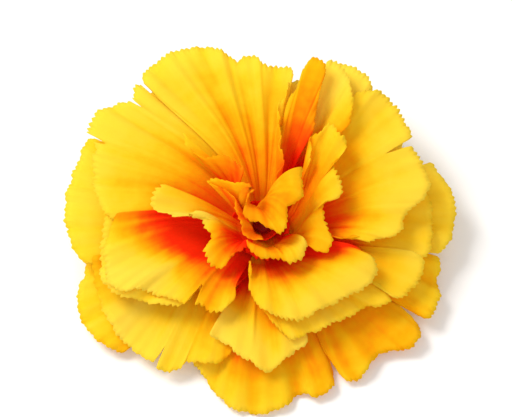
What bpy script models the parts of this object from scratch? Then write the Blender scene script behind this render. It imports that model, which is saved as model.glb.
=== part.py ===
"""A stemless silk carnation head.

Seven die-cut cloth discs are threaded on one plastic pin and held down on a plastic
calyx. Each disc is cut into lobes with a pinked edge, and heat-set so that the lower
discs spread wide and the upper ones stand up and curl over at the rim.

Metres, +Z up. The origin is the middle of the calyx's flat foot.
"""

import math
from collections import namedtuple

import bmesh
import bpy
from mathutils import Vector
from mathutils.bvhtree import BVHTree

MM = 0.001

# Driving sizes, in millimetres.
CLOTH = 0.6
FIT_GAP = 0.3
DISC_PITCH = 1.0
FOOT_RADIUS = 7.0
CALYX_RADIUS = 9.0
CALYX_HEIGHT = 5.6
CALYX_BAND = 1.0
FOOT_EDGE = 0.6
BORE_FLOOR = 1.4
PIN_RADIUS = 1.5
PIN_HEAD_RADIUS = 2.2
PIN_HEAD_HEIGHT = 1.0
FIRST_DISC = CALYX_HEIGHT + FIT_GAP + CLOTH / 2
PIN_HOLE = PIN_RADIUS + FIT_GAP

# How a disc is meshed: a row of points at the hole, one at the collar, and the last at the
# rim. The slits between the lobes run inward to SLIT_ROW.
COLLAR_ROW = 1
SLIT_ROW = 2
RIM_ROW = 7
COLUMN_WIDTH = 4.2
FEWEST_COLUMNS = 3
SLIT_WIDTH = 0.9
TOOTH = 0.9
TURN_STEPS = 48
MERGE = 0.01

# How far a rib keeps its first and last direction, as a share of its length.
HANDLE = 0.38

# A disc lies this far above the one below it, measured square to its surface. Slopes whose
# normal rises less than STEEPEST count as that steep.
LAY_GAP = 1.0
STEEPEST = 0.35
ABOVE_ALL = 100.0

# A lobe's root runs along the collar from its own start to the next lobe's, in degrees
# counter-clockwise from +X. It leaves the collar at the angle rise and ends at the angle
# droop, in degrees above the horizontal: one angle for the whole lobe, or several, evenly
# spaced from its first rib to its last. Its rim is a smooth line through (azimuth in
# degrees, reach from the axis, height), in millimetres.
Lobe = namedtuple("Lobe", "start rise droop rim")
Disc = namedtuple("Disc", "name collar lobes")
Rib = namedtuple("Rib", "root rim rise droop ends_lobe")

DISCS = [
    Disc("petal_layer_1", 12.0, [
        Lobe(5, (6,), (-12,), [(9, 41, 6), (20, 43, 7), (34, 41, 8)]),
        Lobe(36, (12,), (-5,), [(38, 40, 9), (54, 42, 10), (72, 41, 10)]),
        Lobe(74, (12,), (-5,), [(76, 40, 10), (96, 41, 11), (117, 40, 10)]),
        Lobe(119, (10,), (-5,), [(122, 41, 10), (134, 43, 10), (145, 43, 10), (153, 42, 9)]),
        Lobe(155, (6,), (-10,), [(157, 41, 7), (172, 43, 6), (189, 41, 5.5)]),
        Lobe(191, (6,), (-12,), [(187.6, 42.3, 5.4), (192.6, 43.3, 5.2), (197.1, 45.3, 5),
             (200.7, 46.7, 4.6), (204.7, 47.2, 4.2), (207.9, 47.4, 3.9), (211, 46.8, 3.7),
             (214.9, 46, 3.4), (218.7, 44.7, 3), (221.5, 42.8, 2.8), (221.5, 41.3, 2.8),
             (221.7, 38.9, 3)]),
        Lobe(238, (4,), (-16,), [(240.7, 34.4, 3), (244.1, 35.3, 2.4), (248, 36.7, 1.8),
             (252.2, 38.8, 1.5), (256.1, 40.6, 1.4), (260.6, 42.4, 1.3), (265.4, 43.2, 1.4),
             (271.8, 43.2, 1.5), (277.3, 41.8, 1.6), (281.7, 39.9, 1.8), (284.8, 39.9, 2),
             (287.9, 41.4, 2), (291.4, 41.2, 2), (294.4, 40, 2.2), (297.2, 37.2, 2.6)]),
        Lobe(299, (4,), (-15,), [(297.8, 36, 2.7), (298, 38.2, 2.4), (299, 40.3, 2.2),
             (300.4, 41.4, 2.2), (303.3, 41.6, 2.4), (307.4, 40.7, 2.7), (312.9, 39.9, 3),
             (315.3, 40.5, 3), (318, 42.2, 3.1), (320.9, 44, 3.2), (323.9, 44.7, 3.4),
             (327, 44.5, 3.8), (329.3, 42.7, 4.2), (330.9, 40.7, 4.3)]),
        Lobe(332, (6,), (-12,), [(332, 39.8, 4.2), (331.9, 40.9, 4.3), (332.1, 42.4, 4.4),
             (333, 44.4, 4.6), (336.4, 44.8, 4.8), (340.5, 44.7, 5), (344.7, 43.3, 5.4),
             (349, 43.1, 5.8), (352.9, 42.1, 6.2)]),
    ]),
    Disc("petal_layer_2", 11.0, [
        Lobe(-8, (14,), (-4,), [(-7, 42.5, 7.6), (-2, 45, 8.6), (5, 46.4, 9.6), (13, 46.6, 10.6),
             (22, 44.4, 12)]),
        Lobe(24, (18,), (0,), [(23, 41, 12.5), (31, 40.2, 13.2), (39, 41, 14), (47, 42.2, 15),
             (51, 41.5, 15.6)]),
        Lobe(52, (22,), (2,), [(53, 41.5, 16.2), (59, 43, 16.8), (66, 42.6, 17.2), (72, 40, 17.4)]),
        Lobe(74, (22,), (2,), [(75, 38, 17.4), (82, 37.4, 17.4), (89, 37.4, 17.2), (97, 38.6, 17)]),
        Lobe(98, (20,), (2,), [(99, 39, 17), (105, 43.6, 16.8), (112, 46, 16.4), (119, 46.2, 15.8),
             (126, 44, 15)]),
        Lobe(129, (16,), (-2,), [(130, 43, 14.8), (134, 43, 14), (140, 46, 13.2), (145, 46.6, 12.8),
             (149, 45, 12.2)]),
        Lobe(150, (12,), (-6,), [(149.7, 46.3, 12), (150.9, 48.3, 11.8), (156.9, 48, 11.6),
             (163.6, 47.8, 11.3), (170.7, 47.5, 11), (176.4, 47, 10.7), (182.7, 45.6, 10.1),
             (187.6, 43.7, 9.4), (189, 42.2, 9)]),
        Lobe(191, (9,), (-10,), [(192.7, 40.7, 8.4), (203.1, 41.7, 7), (214.1, 42.1, 5.8),
             (222.1, 41.8, 5), (227.7, 41.1, 4.6), (231.5, 41, 4.4), (234.1, 41.2, 4.4),
             (237.2, 40.3, 4.4), (240.1, 38.6, 4.6), (241.4, 36, 5), (247.8, 35, 5.2),
             (253.4, 33.3, 5.6), (256.7, 30.4, 6.2)]),
        Lobe(248, (8,), (-16,), [(245.2, 29.3, 8.6), (250.2, 29.4, 8.2), (255.3, 30.1, 8),
             (259.4, 31.6, 7.8), (265.1, 32.8, 7.6), (268.4, 34.4, 7.4), (271.1, 35.1, 7.2),
             (274.5, 34.7, 7.2), (278, 33, 7.4), (283.2, 31.3, 7.7), (288.2, 30.4, 8),
             (288.3, 28.1, 8.2)]),
        Lobe(291, (8,), (-10,), [(293, 26, 8), (304, 26, 8), (317, 27, 8), (331, 30, 7.8)]),
        Lobe(333, (8,), (-10,), [(335, 33, 7.2), (342, 35, 7.2), (350, 36, 7.4)]),
    ]),
    Disc("petal_layer_3", 10.0, [
        Lobe(-13, (22, 18, 18), (-8,), [(-11.2, 33.7, 11), (-12, 36.6, 11), (-11, 39.1, 11.2),
             (-8.5, 40.3, 11.4), (-5, 40.1, 11.8), (-0.6, 40.5, 12), (4.3, 40.5, 12.6),
             (9.2, 40.3, 13.2)]),
        Lobe(15, (24,), (0,), [(13, 38, 14.2), (22, 38.6, 14.8), (30, 38.8, 15.6), (37, 39, 16.4)]),
        Lobe(42, (28,), (4,), [(39.7, 40.1, 17.2), (44.1, 41, 18), (47.8, 42.5, 18.6), (52, 43.3, 19),
             (54.9, 44.9, 19.4), (58.3, 45.4, 19.6), (61.7, 45.3, 19.8), (65.6, 44.9, 20),
             (68.9, 44.2, 20)]),
        Lobe(67, (30,), (4,), [(69, 38, 19), (76, 36.6, 19), (84, 36, 19), (93, 36.4, 18.8)]),
        Lobe(93, (28,), (2,), [(98, 37.4, 18), (106, 40.6, 17.6), (114, 42, 17), (122, 41, 16.4),
             (127, 39, 16)]),
        Lobe(131, (24,), (-2,), [(133, 38, 16.4), (144, 40.4, 15.6), (155, 40, 15.2), (167, 38, 15.2),
             (177, 34.4, 14.8)]),
        Lobe(181, (18,), (-14,), [(177.7, 35.4, 14.6), (181.6, 37, 14.2), (185.9, 37.8, 13.6),
             (190.7, 38.4, 13.2), (195.4, 39.3, 13), (199.9, 39.9, 12.6), (205, 39.3, 12.3),
             (209.4, 37.3, 12.2), (214, 34.4, 12), (218, 32.4, 11.8), (223.1, 29.9, 11.8),
             (226.7, 27.4, 11.8), (227, 24.9, 12), (224.4, 22.5, 12.2)]),
        Lobe(228, (18,), (-20,), [(225.1, 21.5, 11.6), (231.7, 22.2, 11.4), (237.8, 22.3, 11.2),
             (242.7, 21.8, 11.2), (245.5, 20.2, 11.2), (246.2, 17.9, 11.4)]),
        Lobe(255, (14,), (-20,), [(266.7, 20.2, 11.8), (273.5, 22.9, 11), (278.6, 26.2, 10.4),
             (283, 28.7, 9.9), (287.4, 29.3, 9.8), (292.1, 28.8, 9.9), (297.7, 29.3, 10),
             (304.2, 29.3, 10), (310.4, 30.1, 10), (314.8, 31, 10.1), (319.8, 31.4, 10.3),
             (322.5, 33.7, 10.3), (325.8, 35.2, 10.3), (328.5, 33.6, 10.6), (330.7, 31.3, 10.8)]),
        Lobe(329, (14, 13, 8), (-12, -12, -6), [(333.7, 30.8, 10.6), (331.8, 33.4, 10.2),
             (330.9, 36.1, 10), (332.1, 37.5, 10), (336.5, 38.3, 10.1), (340.3, 39.3, 10.3),
             (344.5, 39.5, 10.6), (346.8, 38.4, 10.7), (347.3, 36, 10.6)]),
    ]),
    Disc("petal_layer_4", 8.5, [
        Lobe(-20, (34, 36, 40), (-12, -6, 0), [(-18.1, 18.7, 16.8), (-14.5, 21.7, 16.6),
             (-14.6, 25.5, 16.5), (-11.3, 28.1, 16.7), (-9.4, 31.4, 17), (-5.5, 32.9, 17.2),
             (-0.7, 33.5, 17.6), (3.6, 35.7, 18), (6, 38.3, 18.2), (10.1, 40, 18.6), (15.5, 40.5, 19),
             (20.3, 40.2, 19.3), (25, 39.9, 19.5), (29.3, 40.7, 19.8), (34.4, 41.7, 20.2),
             (39.8, 42.5, 20.6), (44.6, 42.9, 21), (48.4, 42, 21.6), (51.3, 39.9, 22.4),
             (53.3, 38.1, 23)]),
        Lobe(50, (42,), (10,), [(45.7, 29.8, 24.4), (50.1, 33.7, 24.8), (54.1, 36.7, 24.8),
             (58.4, 39.3, 24.6), (61.9, 41.4, 24.2), (65, 42.3, 24), (67.6, 41.8, 24)]),
        Lobe(60, (46,), (8,), [(57.4, 22.4, 24), (62.7, 28.5, 25.6), (65.2, 34.1, 26.8),
             (66.3, 38, 27.4), (69.8, 39.4, 27.5), (72.7, 38.7, 27.2), (74.2, 35.2, 26.6),
             (75.3, 31.9, 25.6), (76, 28.7, 24.2), (77.2, 25.8, 22.6)]),
        Lobe(78, (38, 40, 40, 38), (0, 0, -2, -6), [(82.7, 34.5, 19.8), (89.9, 36, 19.6),
             (97.4, 37.2, 19.2), (104.7, 41.9, 18.8), (112.4, 44.7, 18.4), (119.6, 45.2, 18),
             (124.5, 43.7, 17.8), (128, 42.4, 17.8), (129.4, 45.9, 18.2), (131, 46.5, 18.3),
             (133.7, 45.1, 18.2), (136.3, 44.1, 18), (138.8, 46.5, 17.8), (142.4, 48.1, 17.6),
             (146.6, 48.5, 17.3), (150.4, 48.1, 17.1), (152.1, 46.1, 17), (154.5, 44, 16.8),
             (158.9, 42.9, 16.6), (165, 41.3, 16.4), (171.1, 39.2, 16.4), (175.8, 37.3, 16.6),
             (179.1, 35, 16.8)]),
        Lobe(166, (30, 26), (-14, -20), [(180.6, 34.3, 16), (186, 36.1, 15.4), (191.9, 37.3, 14.8),
             (197.7, 38.4, 14.4), (202.8, 39, 14.1), (206.3, 38.5, 13.9), (208.9, 36.8, 13.8),
             (210.2, 34.3, 13.8), (213.4, 32.2, 13.7), (217.8, 30.5, 13.5), (222.9, 28.8, 13.3),
             (227.6, 27.5, 13.1), (231.3, 26.3, 13), (235.6, 25.4, 12.9), (241.1, 25.3, 12.8),
             (246.3, 24.7, 12.7), (249.3, 22.9, 12.9), (250.3, 20, 13.2)]),
        Lobe(250, (40,), (-30,), [(257.9, 12.2, 15), (258.6, 15.3, 14.4), (260.3, 17.9, 14),
             (266.1, 20.6, 13.6), (273.4, 23, 13.4), (281.1, 24.9, 13.3), (287.7, 26.4, 13.3),
             (293.1, 26.3, 13.4), (300.1, 26.1, 13.7), (307, 26.8, 13.9), (314.2, 27.5, 14.1),
             (320.1, 28.6, 14.4), (325.8, 29.6, 14.6), (331.3, 30.1, 14.9), (335.9, 29.5, 15.2),
             (339.3, 27.1, 15.5), (340.6, 23.7, 15.7)]),
    ]),
    Disc("petal_layer_5", 7.0, [
        Lobe(-36, (62,), (-30, 40), [(-32.1, 15.3, 17.8), (-31.3, 17.9, 18), (-24.1, 17.8, 18.6),
             (-16.9, 16.5, 19.4), (-8.4, 14.8, 20.4), (0.2, 14.2, 21.2), (6.2, 15.9, 22),
             (8.5, 18.3, 22.6), (16.1, 19.2, 23.2), (25.3, 19.1, 23.8), (31.4, 18.9, 24.2),
             (33.4, 21.3, 24.6), (35.6, 23.9, 25), (39.8, 25.4, 25.2), (45.7, 25.6, 25.4),
             (51.6, 25.8, 25.4), (52.8, 23, 25.4), (53.2, 20, 25.2), (49.9, 17.5, 24.6),
             (44, 15.3, 24.2)]),
        Lobe(33, (60,), (0,), [(36, 7.7, 11.6), (45, 7.7, 11.6), (54, 7.7, 11.6)]),
        Lobe(57, (72, 56, 50, 48, 42), (75, 15, 0, 0, 0), [(61.6, 7.8, 25.2), (65.6, 10.7, 25.8),
             (70.4, 13.9, 26.4), (74.9, 17.1, 26.2), (79.4, 20.6, 25.4), (80.6, 24.8, 24.2),
             (80.1, 29.3, 23), (79.2, 33.6, 22.2), (78.1, 37.6, 21.6), (80.7, 39.2, 21.2),
             (85, 39.3, 21), (89.2, 39.5, 20.9), (91.3, 41.5, 20.9), (93.6, 42.2, 20.8),
             (95.9, 42.1, 20.7), (98.3, 41.5, 20.6), (101.7, 44.2, 20.3), (105.1, 46.5, 20.1),
             (109.8, 48.2, 19.9), (114.8, 48.8, 19.7), (119.9, 48.9, 19.5), (124.2, 48.4, 19.2),
             (128.4, 46.8, 19), (128.4, 43.9, 19), (128.5, 41, 19.1)]),
        Lobe(116, (54, 62), (10, 55), [(132.8, 28, 20.2), (134.9, 25.5, 20.6), (136.5, 22.5, 21.4),
             (136.6, 18.8, 22.6), (127.8, 15.3, 24), (120.2, 12.1, 25), (117.2, 8.7, 25.6)]),
        Lobe(140, (30,), (-20,), [(146, 7.8, 11.2), (170, 7.8, 11.2), (193, 7.7, 11.2),
             (212, 7.7, 11.2), (232, 7.7, 11.2)]),
        Lobe(238, (60,), (-30,), [(244, 8.2, 14), (264, 9.8, 14.8), (286, 10.6, 15.2),
             (308, 11, 15.8), (321, 11.5, 16.6)]),
    ]),
    Disc("petal_layer_6", 5.4, [
        Lobe(-30, (60,), (0,), [(-26, 6.8, 13.6), (0, 6.4, 13.4), (20, 6.2, 13.2), (40, 6.2, 13.2)]),
        Lobe(44, (60,), (0,), [(60, 6.2, 13.2), (80, 6.2, 13.2), (106, 6.2, 13.2)]),
        Lobe(108, (50,), (0,), [(114, 6.2, 12.8), (136, 6.1, 12.6), (158, 6.1, 12.4)]),
        Lobe(163, (40, 52, 62), (18, -20, -50), [(165.8, 23.9, 22.2), (170.2, 25.1, 22.2),
             (175.3, 25.7, 21.8), (179.9, 25.4, 21.2), (182, 23.3, 20.8), (183.3, 21.4, 20.6),
             (185.4, 20.1, 20.4), (184.6, 18.4, 20.6), (183.6, 16.8, 20.8), (187.9, 15.7, 20.4),
             (189.2, 14.6, 20.2), (197, 14.1, 19.6), (207.5, 13.1, 18.8), (211.5, 14.7, 18.4),
             (214.8, 16.1, 17.8), (221.5, 16.7, 16.9), (229, 17, 16.2), (234.2, 16.3, 16),
             (236.7, 14.4, 16.2), (235.5, 12.3, 16.6), (239.8, 10.2, 17), (245.6, 8.4, 17.4)]),
        Lobe(240, (62,), (-60,), [(248, 9.8, 20), (257, 10.6, 19.5), (268, 11.3, 19.1),
             (279, 12.2, 18.8), (290, 13.3, 18.6), (301, 14.3, 18.4), (312, 14.6, 18.6),
             (323, 13, 19.2)]),
    ]),
    Disc("petal_layer_7", 3.7, [
        Lobe(86, (84,), (-40, -40, -40, -40, 30), [(40.7, 11.6, 26.8), (28, 10.7, 26.6),
             (11.9, 9.9, 26.3), (-2.5, 8.5, 25.9), (-18, 6.3, 25.4), (-36.5, 6.8, 25),
             (-48.7, 8.3, 24.2), (-61.7, 9.1, 23.2), (-72.5, 6.8, 23.2), (-95.2, 5.3, 23.8),
             (-125.6, 5.6, 24.4), (-146.8, 5.2, 25.2), (-160.4, 3.9, 26.2), (-178.5, 2.8, 26.8),
             (-219.3, 2.1, 27.1)]),
        Lobe(150, (84,), (30, 40), [(150.5, 2.9, 26.9), (139, 4.6, 26.4), (141.6, 7.1, 25.8),
             (149.2, 10.3, 25.2), (153.7, 13, 24.8), (157.3, 13.9, 24.6), (156.9, 12.1, 24.2),
             (155.8, 9.9, 24), (163.5, 8.2, 23.8), (179.4, 6.7, 23.6), (200.2, 6.2, 23.8),
             (220, 6.6, 23.4), (237.8, 7.8, 22.4), (253.6, 8.2, 21.4), (269.9, 8.8, 20.6)]),
        Lobe(264, (70,), (40,), [(274, 4.6, 13.8), (300, 4.6, 13.8), (330, 4.6, 14), (358, 4.6, 14),
             (384, 4.6, 14), (415, 4.6, 14), (442, 4.6, 14)]),
    ]),
]


def smooth_line(points, share):
    """The place at a share from 0 to 1 along a smooth line through the points."""
    last = len(points) - 1
    start = min(int(share * last), last - 1)
    step = share * last - start
    before = points[max(start - 1, 0)]
    after = points[min(start + 2, last)]
    return [
        0.5 * (2 * b + (c - a) * step + (2 * a - 5 * b + 4 * c - d) * step ** 2
               + (3 * b - a - 3 * c + d) * step ** 3)
        for a, b, c, d in zip(before, points[start], points[start + 1], after)
    ]


def rim_length(lobe):
    """The length of the lobe's rim, in millimetres."""
    corners = [
        Vector((reach * math.cos(math.radians(azimuth)), reach * math.sin(math.radians(azimuth)), height))
        for azimuth, reach, height in lobe.rim
    ]
    return sum((far - near).length for near, far in zip(corners, corners[1:]))


def between(values, share):
    """The value at a share of the way along evenly spaced values."""
    last = len(values) - 1
    start = min(int(share * last), last)
    end = min(start + 1, last)
    return values[start] + (values[end] - values[start]) * (share * last - start)


def ribs_of(disc):
    """Every rib of a disc: its root azimuth, rim point, rise and droop, and whether it ends its lobe."""
    ribs = []
    slit = math.degrees(SLIT_WIDTH / disc.collar)
    starts = [lobe.start for lobe in disc.lobes] + [disc.lobes[0].start + 360]
    for lobe, start, end in zip(disc.lobes, starts, starts[1:]):
        columns = max(FEWEST_COLUMNS, round(rim_length(lobe) / COLUMN_WIDTH))
        for column in range(columns + 1):
            share = column / columns
            root = start + slit / 2 + (end - start - slit) * share
            rise, droop = between(lobe.rise, share), between(lobe.droop, share)
            ribs.append(Rib(root, smooth_line(lobe.rim, share), rise, droop, column == columns))
    return ribs


def on_circle(radius, azimuth, height=0.0):
    """A point by its distance from the axis, its azimuth in degrees and its height."""
    angle = math.radians(azimuth)
    return Vector((radius * math.cos(angle), radius * math.sin(angle), height))


def rib_point(disc, hub, rib, row):
    """A point of a rib: the hole's edge, the collar, then a curve up to the rim."""
    if row <= COLLAR_ROW:
        return on_circle(disc.collar if row == COLLAR_ROW else PIN_HOLE, rib.root, hub)
    share = (row - COLLAR_ROW) / (RIM_ROW - COLLAR_ROW)
    azimuth, reach, height = rib.rim
    root = on_circle(disc.collar, rib.root, hub)
    tip = on_circle(reach, azimuth, height)
    pull = (tip - root).length * HANDLE
    rise, droop = math.radians(rib.rise), math.radians(rib.droop)
    onward = Vector((tip.x - root.x, tip.y - root.y, 0)).normalized()
    leave = root + pull * on_circle(math.cos(rise), rib.root, math.sin(rise))
    arrive = tip - pull * (onward * math.cos(droop) + Vector((0, 0, math.sin(droop))))
    rest = 1 - share
    return (rest ** 3 * root + 3 * rest ** 2 * share * leave
            + 3 * rest * share ** 2 * arrive + share ** 3 * tip)


def lay_on(mesh, below):
    """Lifts a disc's points until they lie clear above the discs under them."""
    down = Vector((0, 0, -1))
    for vert in mesh.verts:
        top = Vector((vert.co.x, vert.co.y, ABOVE_ALL * MM))
        for tree in below:
            place, normal, _, _ = tree.ray_cast(top, down)
            if place is not None:
                clear = LAY_GAP * MM / max(abs(normal.z), STEEPEST)
                vert.co.z = max(vert.co.z, place.z + clear)


def add_teeth(mesh, rim_edges):
    """Pinks the rim: one tooth stands out from the middle of each rim edge."""
    tips = bmesh.ops.subdivide_edges(mesh, edges=rim_edges, cuts=1)["geom_inner"]
    for tip in [item for item in tips if isinstance(item, bmesh.types.BMVert)]:
        outward = Vector((tip.co.x, tip.co.y, 0)).normalized()
        tip.co += outward * TOOTH * MM


def petal_disc(disc, hub, below):
    """One cloth disc, from a flat grid whose columns become ribs and whose rows run outward."""
    ribs = ribs_of(disc)
    columns = len(ribs)
    mesh = bmesh.new()
    bmesh.ops.create_grid(mesh, x_segments=columns, y_segments=RIM_ROW, size=1)
    cells = {}
    rows = {}
    for vert in mesh.verts:
        column = round((vert.co.x + 1) / 2 * columns)
        rows[vert] = round((vert.co.y + 1) / 2 * RIM_ROW)
        cells[vert] = column
    in_slit = [
        face for face in mesh.faces
        if ribs[min(cells[vert] for vert in face.verts)].ends_lobe
        and min(rows[vert] for vert in face.verts) >= SLIT_ROW
    ]
    for vert in mesh.verts:
        vert.co = rib_point(disc, hub, ribs[cells[vert] % columns], rows[vert]) * MM
    rim_edges = [
        edge for edge in mesh.edges
        if all(rows[vert] == RIM_ROW for vert in edge.verts)
        and not ribs[min(cells[vert] for vert in edge.verts)].ends_lobe
    ]
    bmesh.ops.delete(mesh, geom=in_slit, context="FACES")
    lay_on(mesh, below)
    add_teeth(mesh, rim_edges)
    bmesh.ops.remove_doubles(mesh, verts=mesh.verts, dist=MERGE * MM)
    bmesh.ops.recalc_face_normals(mesh, faces=mesh.faces)
    bmesh.ops.triangulate(mesh, faces=mesh.faces)
    below.append(BVHTree.FromBMesh(mesh))
    return mesh


def material(name, colour, roughness):
    """A plain matt finish of the given colour."""
    finish = bpy.data.materials.new(name)
    finish.use_nodes = True
    shader = finish.node_tree.nodes["Principled BSDF"]
    shader.inputs["Base Color"].default_value = (*colour, 1)
    shader.inputs["Roughness"].default_value = roughness
    shader.inputs["Metallic"].default_value = 0
    return finish


def add_object(name, mesh, finish, collection):
    """Puts a mesh into the collection as a named object with its material."""
    data = bpy.data.meshes.new(name)
    mesh.to_mesh(data)
    mesh.free()
    data.materials.append(finish)
    data.shade_smooth()
    thing = bpy.data.objects.new(name, data)
    collection.objects.link(thing)
    return thing


def turned(name, profile, finish, collection):
    """A solid turned round Z, from its outline listed top to bottom down the outer side."""
    mesh = bmesh.new()
    corners = [mesh.verts.new((radius * MM, 0, z * MM)) for radius, z in profile]
    for near, far in zip(corners, corners[1:]):
        mesh.edges.new((near, far))
    thing = add_object(name, mesh, finish, collection)
    screw = thing.modifiers.new("Turn", "SCREW")
    screw.steps = screw.render_steps = TURN_STEPS
    screw.use_merge_vertices = True
    screw.merge_threshold = MERGE * MM
    return thing


def calyx(finish, collection):
    """The green cap under the discs: a flat foot, flared sides and a blind hole for the pin."""
    return turned("calyx", [
        (0, BORE_FLOOR), (PIN_HOLE, BORE_FLOOR), (PIN_HOLE, CALYX_HEIGHT), (CALYX_RADIUS, CALYX_HEIGHT),
        (CALYX_RADIUS, CALYX_HEIGHT - CALYX_BAND), (FOOT_RADIUS + FOOT_EDGE, FOOT_EDGE),
        (FOOT_RADIUS, 0), (0, 0),
    ], finish, collection)


def pin(finish, collection):
    """The pin that threads the discs, from the calyx's blind hole to a round head on top."""
    seat = FIRST_DISC + DISC_PITCH * (len(DISCS) - 1) + CLOTH / 2 + FIT_GAP
    foot = BORE_FLOOR + FIT_GAP
    dome = [
        (PIN_HEAD_RADIUS * math.sin(angle), seat + PIN_HEAD_HEIGHT * math.cos(angle))
        for angle in (0, math.pi / 6, math.pi / 3, math.pi / 2)
    ]
    return turned("pin", dome + [(PIN_RADIUS, seat), (PIN_RADIUS, foot), (0, foot)], finish, collection)


def build():
    """Clears the scene and makes the flower head."""
    for thing in list(bpy.data.objects):
        bpy.data.objects.remove(thing)
    collection = bpy.data.collections.new("silk_carnation_head")
    bpy.context.scene.collection.children.link(collection)
    petal_cloth = material("petal cloth", (0.95, 0.62, 0.02), 0.8)
    green_plastic = material("green plastic", (0.08, 0.22, 0.05), 0.5)
    pin_plastic = material("pin plastic", (0.27, 0.01, 0.005), 0.5)
    calyx(green_plastic, collection)
    pin(pin_plastic, collection)
    below = []
    for layer, disc in enumerate(DISCS):
        mesh = petal_disc(disc, FIRST_DISC + DISC_PITCH * layer, below)
        thing = add_object(disc.name, mesh, petal_cloth, collection)
        thickness = thing.modifiers.new("Cloth", "SOLIDIFY")
        thickness.thickness = CLOTH * MM
        thickness.offset = 0


build()
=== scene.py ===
# %% [markdown]
# # A silk carnation head
#
# A silk carnation is made and not grown. Seven discs of dyed polyester cloth are die-cut into
# lobes with a pinked edge, pressed while hot so that they ruffle, and threaded on a plastic pin.
# The frame already holds plain solids of every piece. This lesson dresses them: each disc
# becomes a thin sheet with its real teeth, creases and dye.

import math
import random
from collections import namedtuple

import bmesh
import bpy
import numpy as np
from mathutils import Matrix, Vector
from mathutils.bvhtree import BVHTree


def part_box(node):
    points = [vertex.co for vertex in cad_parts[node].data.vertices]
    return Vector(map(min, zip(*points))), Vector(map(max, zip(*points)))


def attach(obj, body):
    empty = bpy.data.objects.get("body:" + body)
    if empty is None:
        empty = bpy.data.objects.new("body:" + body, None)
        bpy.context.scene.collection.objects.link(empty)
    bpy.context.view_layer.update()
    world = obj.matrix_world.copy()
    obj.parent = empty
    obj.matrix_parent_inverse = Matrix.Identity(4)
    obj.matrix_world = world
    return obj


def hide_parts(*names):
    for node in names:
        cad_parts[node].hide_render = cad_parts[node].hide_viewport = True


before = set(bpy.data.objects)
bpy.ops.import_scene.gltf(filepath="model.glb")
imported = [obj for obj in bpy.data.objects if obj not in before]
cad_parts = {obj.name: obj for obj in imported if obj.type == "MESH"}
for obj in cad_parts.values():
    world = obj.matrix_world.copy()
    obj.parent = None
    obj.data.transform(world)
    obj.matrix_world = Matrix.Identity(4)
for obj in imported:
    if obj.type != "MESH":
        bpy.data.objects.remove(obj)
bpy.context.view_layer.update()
MM = 0.001


# %% [markdown]
# ## The camera
#
# The photograph looks down on the flower from the front, about 62 degrees above the table. A
# long lens from almost half a metre away keeps the far petals nearly as large as the near ones.

# %% Point the camera
VIEW_ELEVATION = math.radians(62)
VIEW_DISTANCE = 450 * MM
VIEW_WIDTH = 121.9 * MM
AIM = Vector((-1.4, 4.8, 12.0)) * MM
SENSOR_WIDTH = 36.0
NEAREST = 10 * MM


def add_camera():
    """Makes the camera that takes in VIEW_WIDTH at the distance of AIM."""
    data = bpy.data.cameras.new("view")
    data.sensor_width = SENSOR_WIDTH
    data.lens = SENSOR_WIDTH * VIEW_DISTANCE / VIEW_WIDTH
    data.clip_start = NEAREST
    camera = bpy.data.objects.new("view", data)
    back = Vector((0, -math.cos(VIEW_ELEVATION), math.sin(VIEW_ELEVATION)))
    camera.location = AIM + VIEW_DISTANCE * back
    camera.rotation_euler = (math.pi / 2 - VIEW_ELEVATION, 0, 0)
    bpy.context.scene.collection.objects.link(camera)
    bpy.context.scene.camera = camera
    return camera


camera = add_camera()
print(f"lens {camera.data.lens:.0f} mm")

# %% [markdown]
# ## The lamps
#
# The flower lies in a bright studio. One large soft lamp stands behind it on the left, so the
# shadows fall to the right and to the front, and a weaker one and the white room fill the rest.
# Each lamp has a name, a place and a side in metres, and a power in watts.

# %% Set up the lamps
LAMPS = [
    ("key", (-0.42, 0.22, 0.64), 0.35, 4.7),
    ("fill", (0.10, -0.60, 0.55), 0.60, 1.3),
]


def add_lamp(name, place, size, power):
    """A square lamp that faces the flower."""
    data = bpy.data.lights.new(name, "AREA")
    data.size = size
    data.energy = power
    lamp = bpy.data.objects.new(name, data)
    lamp.location = place
    lamp.rotation_euler = (AIM - lamp.location).to_track_quat("-Z", "Y").to_euler()
    bpy.context.scene.collection.objects.link(lamp)


for lamp in LAMPS:
    add_lamp(*lamp)
print(len(LAMPS), "lamps")

# %% [markdown]
# ## The room and the table
#
# The room is plain white light from all sides. The Standard view leaves white paper white and
# the yellow strong, where the default view would grey them. The table is one flat square.

# %% Make the room and the table
WHITE = (1, 1, 1, 1)
ROOM_LIGHT = 0.70
TABLE_SIZE = 2.0


def add_room():
    """White light from all around."""
    room = bpy.data.worlds.new("room")
    room.use_nodes = True
    light = room.node_tree.nodes["Background"]
    light.inputs["Color"].default_value = WHITE
    light.inputs["Strength"].default_value = ROOM_LIGHT
    bpy.context.scene.world = room


def add_table():
    """A flat white table top under the flower."""
    sheet = bmesh.new()
    bmesh.ops.create_grid(sheet, x_segments=1, y_segments=1, size=TABLE_SIZE / 2)
    data = bpy.data.meshes.new("table")
    sheet.to_mesh(data)
    sheet.free()
    table = bpy.data.objects.new("table", data)
    bpy.context.scene.collection.objects.link(table)
    return table


add_room()
bpy.context.scene.view_settings.view_transform = "Standard"
table = add_table()
print("table", TABLE_SIZE, "m wide")

# %% [markdown]
# ## Colours and nodes
#
# Colours are written as sRGB hex, the way a paint program shows them. The shader works in linear
# light, so one function turns them, with the sRGB standard's own numbers. A second small
# function adds a node with its settings, and a third starts a material.

# %% Three helpers for materials


def linear(hex_colour):
    """An sRGB hex colour as linear RGBA."""
    parts = [int(hex_colour[i:i + 2], 16) / 255 for i in (1, 3, 5)]
    return tuple(v / 12.92 if v <= 0.04045 else ((v + 0.055) / 1.055) ** 2.4 for v in parts) + (1,)


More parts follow.
